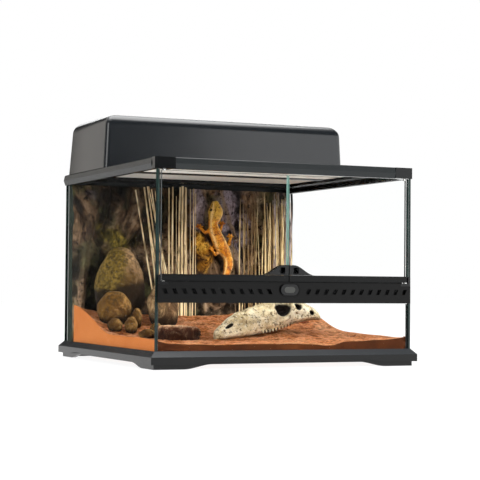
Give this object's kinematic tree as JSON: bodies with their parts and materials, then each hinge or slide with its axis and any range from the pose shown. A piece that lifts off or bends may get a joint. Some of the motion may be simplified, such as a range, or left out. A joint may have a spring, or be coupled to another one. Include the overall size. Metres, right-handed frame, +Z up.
{
  "type": "reptile terrarium",
  "caption": "Front-opening glass terrarium with black frame, vented sill, turning lock, lift-off screen cover, lamp hood and a furnished desert interior.",
  "frame": {"origin": "centre of the footprint, on the floor under the feet", "axes": "+Z up, doors face -Y, +X to the right of a person facing the doors"},
  "size_m": [0.467, 0.467, 0.417],
  "materials": {
    "black_plastic": "satin moulded",
    "gloss_black": "polished moulded",
    "hood_plastic": "fine satin",
    "clear_glass": "clear float glass",
    "silicone": "satin",
    "steel_mesh": "woven wire",
    "steel": "turned",
    "pale_plate": "satin",
    "bright_aluminium": "bright",
    "holder_white": "glazed",
    "lamp_white": "opal",
    "gland_black": "moulded",
    "sand": "loose grains",
    "rock": "painted foam rock",
    "boulder": "weathered stone",
    "slab": "rough stone",
    "cane": "dry cane",
    "bone": "cast resin",
    "gecko": "soft scaled skin"
  },
  "bodies": {
    "tank": {"base_frame": "black_plastic", "bottom_glass": "clear_glass", "left_glass": "clear_glass", "right_glass": "clear_glass", "rear_glass": "clear_glass", "front_lower_glass": "clear_glass", "silicone_seams": "silicone", "vent_strip": "black_plastic", "vent_screens": "steel_mesh", "lower_hinge_blocks": "gloss_black", "top_frame": "black_plastic", "latch_keepers": "steel", "upper_hinge_blocks": "gloss_black", "sand_bed": "sand", "rock_background": "rock", "large_boulder": "boulder", "low_boulder": "boulder", "round_boulder": "boulder", "pebbles": "boulder", "flat_stone": "slab", "leaning_canes": "cane", "upright_canes": "cane", "reed_clump": "cane", "skull_hide": "bone", "gecko_figure": "gecko"},
    "left_door": {"left_door_glass": "clear_glass", "left_door_rail": "black_plastic", "left_door_handle": "gloss_black", "left_door_shoe": "gloss_black", "left_door_pins": "steel"},
    "right_door": {"right_door_glass": "clear_glass", "right_door_rail": "black_plastic", "right_door_handle": "gloss_black", "right_door_shoe": "gloss_black", "right_door_pins": "steel"},
    "lock": {"lock_knob": "gloss_black", "lock_plate": "pale_plate", "lock_shaft": "steel", "lock_washer": "steel"},
    "cover": {"cover_frame": "black_plastic", "cover_screen": "steel_mesh", "cover_cross_bar": "black_plastic"},
    "left_latch": {"left_cover_latch": "black_plastic"},
    "right_latch": {"right_cover_latch": "black_plastic"},
    "left_shutter": {"left_inlet_shutter": "black_plastic"},
    "right_shutter": {"right_inlet_shutter": "black_plastic"},
    "hood": {"hood_shell": "hood_plastic", "hood_reflector": "bright_aluminium", "left_lamp_holder": "holder_white", "right_lamp_holder": "holder_white", "left_lamp": "lamp_white", "right_lamp": "lamp_white", "cable_gland": "gland_black", "switch_housing": "gland_black"},
    "rocker": {"switch_rocker": "gland_black"}
  },
  "joints": [
    {"name": "left_door_hinge", "type": "hinge", "parent": "tank", "child": "left_door", "pos_m": [-0.212, -0.226, 0.22], "axis": [0, 0, -1], "range_deg": [0, 100]},
    {"name": "right_door_hinge", "type": "hinge", "parent": "tank", "child": "right_door", "pos_m": [0.212, -0.226, 0.22], "axis": [0, 0, 1], "range_deg": [0, 100]},
    {"name": "lock_turn", "type": "hinge", "parent": "tank", "child": "lock", "pos_m": [0, -0.23, 0.123], "axis": [0, 1, 0], "range_deg": [0, 90]},
    {"name": "cover_lift", "type": "slide", "parent": "tank", "child": "cover", "axis": [0, 0, 1], "range_m": [0, 0.06]},
    {"name": "left_latch_slide", "type": "slide", "parent": "cover", "child": "left_latch", "axis": [-1, 0, 0], "range_m": [0, 0.0045]},
    {"name": "right_latch_slide", "type": "slide", "parent": "cover", "child": "right_latch", "axis": [1, 0, 0], "range_m": [0, 0.0045]},
    {"name": "left_shutter_slide", "type": "slide", "parent": "tank", "child": "left_shutter", "axis": [-1, 0, 0], "range_m": [0, 0.046]},
    {"name": "right_shutter_slide", "type": "slide", "parent": "tank", "child": "right_shutter", "axis": [1, 0, 0], "range_m": [0, 0.046]},
    {"name": "hood_lift", "type": "slide", "parent": "cover", "child": "hood", "axis": [0, 0, 1], "range_m": [0, 0.08]},
    {"name": "rocker_tilt", "type": "hinge", "parent": "hood", "child": "rocker", "pos_m": [0.176, 0.206, 0.3543], "axis": [1, 0, 0], "range_deg": [0, 16]}
  ]
}
